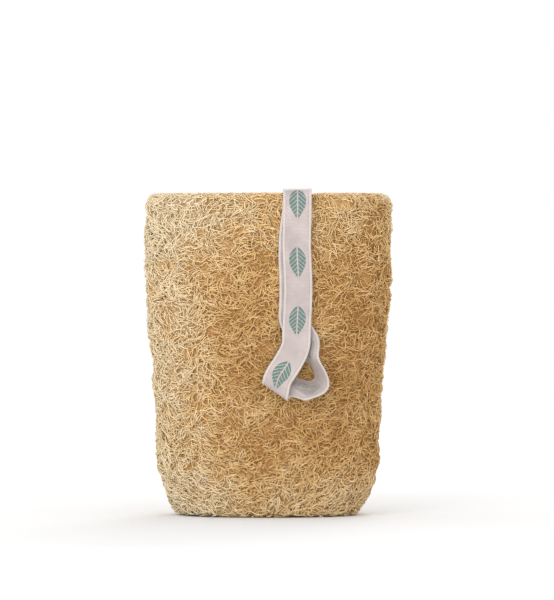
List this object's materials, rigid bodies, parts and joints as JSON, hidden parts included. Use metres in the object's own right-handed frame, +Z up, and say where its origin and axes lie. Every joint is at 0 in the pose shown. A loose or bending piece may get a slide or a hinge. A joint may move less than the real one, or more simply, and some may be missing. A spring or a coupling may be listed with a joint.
{
  "type": "natural loofah sponge",
  "caption": "Upright oval length of dried loofah with a raised fibre net, through seed chambers and a folded hanging tape.",
  "frame": {"origin": "the flat core of the lower cut end, which the sponge stands on", "axes": "+Z up along the gourd's length, +X along its wide side, -Y towards the front, where the tape hangs"},
  "size_m": [0.1218, 0.0876, 0.1628],
  "materials": {
    "loofah_fibre": "matte",
    "woven_tape": "matte",
    "sewing_thread": "satin"
  },
  "bodies": {
    "root": {"loofah_sponge": "loofah_fibre", "hanging_tape": "woven_tape", "tape_stitching": "sewing_thread"}
  },
  "joints": []
}
